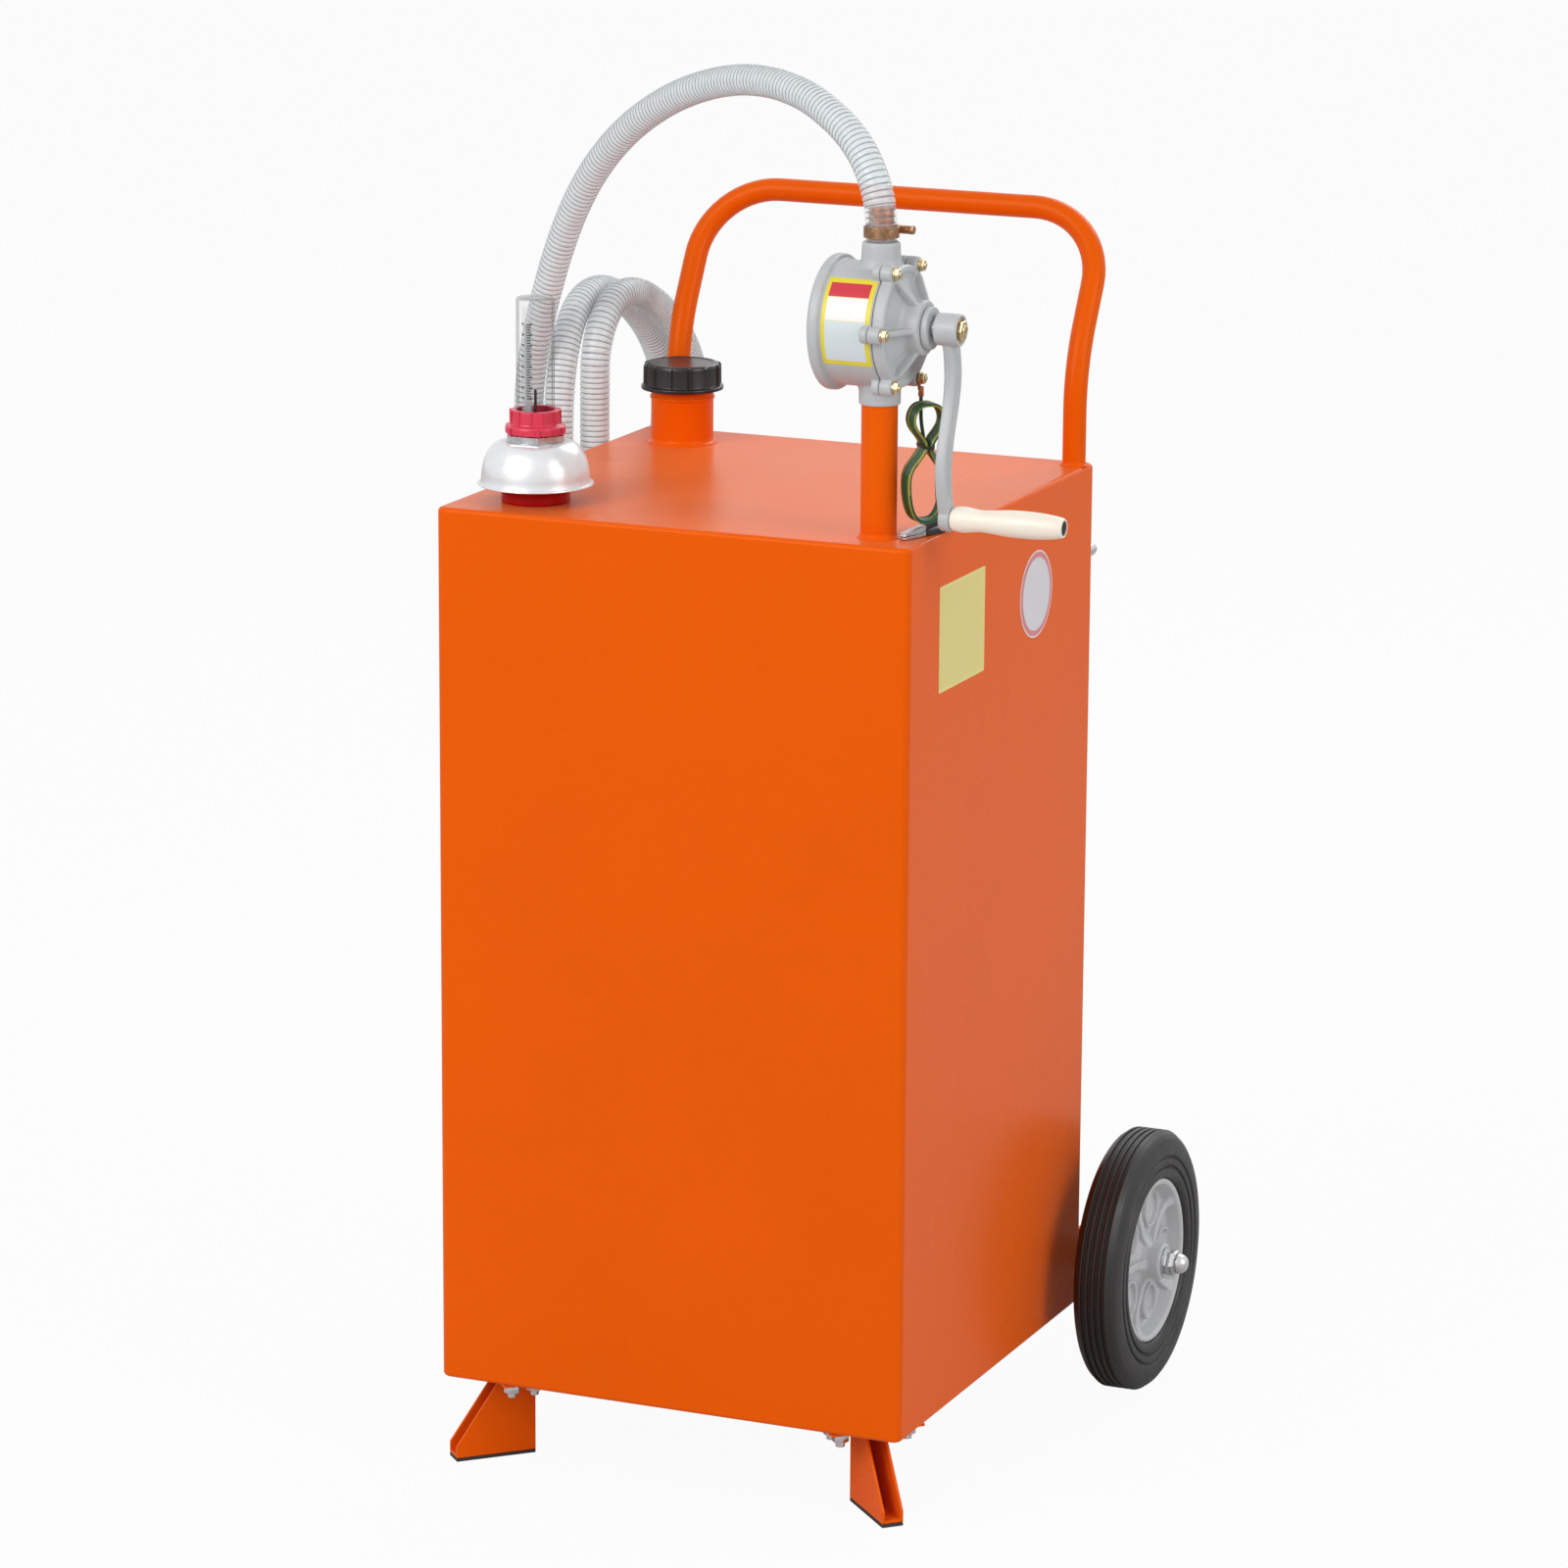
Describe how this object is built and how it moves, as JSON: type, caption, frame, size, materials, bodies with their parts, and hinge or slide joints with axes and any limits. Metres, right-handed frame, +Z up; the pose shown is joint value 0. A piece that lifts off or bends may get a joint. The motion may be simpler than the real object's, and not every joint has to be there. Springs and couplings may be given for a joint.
{
  "type": "fuel caddy",
  "caption": "Wheeled upright sheet-steel fuel tank with a hand-cranked rotary pump, clear hose, float gauge, screw-capped filler and tube handle.",
  "frame": {"origin": "on the floor, at the middle of the caddy's outer box without its hose and its ground wire", "axes": "+Z up, +X towards the crank's side along the front of the tank, +Y towards the handle and the wheels"},
  "size_m": [0.6316, 0.6064, 1.1863],
  "materials": {
    "orange_paint": "semi-gloss powder coat",
    "black_plastic": "moulded, satin",
    "rubber": "matt",
    "tyre": "matt, ribbed tread",
    "red_rubber": "satin",
    "silver_plastic": "silver, smooth",
    "red_plastic": "moulded, satin",
    "clear_plastic": "clear",
    "white_plastic": "satin",
    "grey_casting": "grey paint over a casting, satin",
    "grey_plastic": "moulded, satin",
    "zinc_steel": "bright zinc plating",
    "brass": "bright, hexagon-drawn",
    "copper": "copper, satin",
    "wood": "pale, clear varnish",
    "green_wire": "green with a yellow stripe"
  },
  "bodies": {
    "caddy": {"tank_shell": "orange_paint", "filler_neck": "orange_paint", "gauge_gasket": "red_rubber", "gauge_dome": "silver_plastic", "gauge_nut": "zinc_steel", "gauge_collar": "red_plastic", "gauge_tube": "clear_plastic", "gauge_scale": "white_plastic", "standpipe": "orange_paint", "suction_tube": "zinc_steel", "suction_strainer": "black_plastic", "pump_body": "grey_casting", "pump_cover": "grey_casting", "pump_gland": "grey_casting", "handle": "orange_paint", "axle": "zinc_steel", "foot_left": "orange_paint", "foot_right": "orange_paint", "foot_pad_left": "rubber", "foot_pad_right": "rubber", "rear_post": "zinc_steel", "hose_arch": "clear_plastic", "hose_coil": "clear_plastic", "hose_spout": "white_plastic", "hose_clamp": "copper", "hose_strap": "black_plastic", "hose_hook_front": "zinc_steel", "hose_hook_rear": "zinc_steel", "ground_lug": "copper", "ground_hank": "green_wire", "ground_lead": "green_wire", "ground_tail": "green_wire", "clip_body": "black_plastic", "cover_bolt_1": "brass", "cover_bolt_2": "brass", "cover_bolt_3": "brass", "cover_bolt_4": "brass", "cover_bolt_5": "brass", "cover_bolt_6": "brass", "axle_nut_left": "zinc_steel", "axle_bracket_left": "orange_paint", "axle_nut_right": "zinc_steel", "axle_bracket_right": "orange_paint"},
    "wheel_left": {"tyre_left": "tyre", "wheel_hub_left": "grey_plastic"},
    "wheel_right": {"tyre_right": "tyre", "wheel_hub_right": "grey_plastic"},
    "crank": {"pump_shaft": "zinc_steel", "pump_rotor": "zinc_steel", "pump_vane_1": "black_plastic", "pump_vane_2": "black_plastic", "crank_arm": "grey_casting", "crank_nut": "brass", "grip_spindle": "zinc_steel"},
    "grip": {"crank_grip": "wood"},
    "cap_gasket": {"filler_cap_gasket": "rubber"},
    "cap": {"filler_cap": "black_plastic"},
    "float_rod": {"gauge_rod": "black_plastic", "gauge_float": "black_plastic"},
    "clip_jaw": {"clip_jaw": "black_plastic"}
  },
  "joints": [
    {"name": "wheel_left_spin", "type": "hinge", "parent": "caddy", "child": "wheel_left", "pos_m": [-0.2683, 0.17125, 0.115], "axis": [1, 0, 0], "continuous": true},
    {"name": "wheel_right_spin", "type": "hinge", "parent": "caddy", "child": "wheel_right", "pos_m": [0.2457, 0.17125, 0.115], "axis": [1, 0, 0], "continuous": true},
    {"name": "pump_crank", "type": "hinge", "parent": "caddy", "child": "crank", "pos_m": [0.2157, -0.22675, 0.9975], "axis": [1, 0, 0], "continuous": true},
    {"name": "grip_spin", "type": "hinge", "parent": "crank", "child": "grip", "pos_m": [0.2677, -0.22675, 0.8455], "axis": [1, 0, 0], "continuous": true},
    {"name": "cap_rise", "type": "slide", "parent": "caddy", "child": "cap_gasket", "axis": [0, 0, 1], "range_m": [0, 0.008]},
    {"name": "cap_turn", "type": "hinge", "parent": "cap_gasket", "child": "cap", "pos_m": [-0.1603, 0.09325, 0.885], "axis": [0, 0, 1], "range_deg": [0, 720]},
    {"name": "float_rise", "type": "slide", "parent": "caddy", "child": "float_rod", "axis": [0, 0, 1], "range_m": [0, 0.07]},
    {"name": "clip_open", "type": "hinge", "parent": "caddy", "child": "clip_jaw", "pos_m": [0.18612, -0.20892, 0.8296], "axis": [-0.9511, 0.309, 0], "range_deg": [0, 8], "stiffness_Nm_per_rad": 0.02, "springref_deg": -17.19}
  ],
  "couplings": [
    {"joint": "cap_turn", "follows": "cap_rise", "rad_per_m": 1570.8}
  ]
}
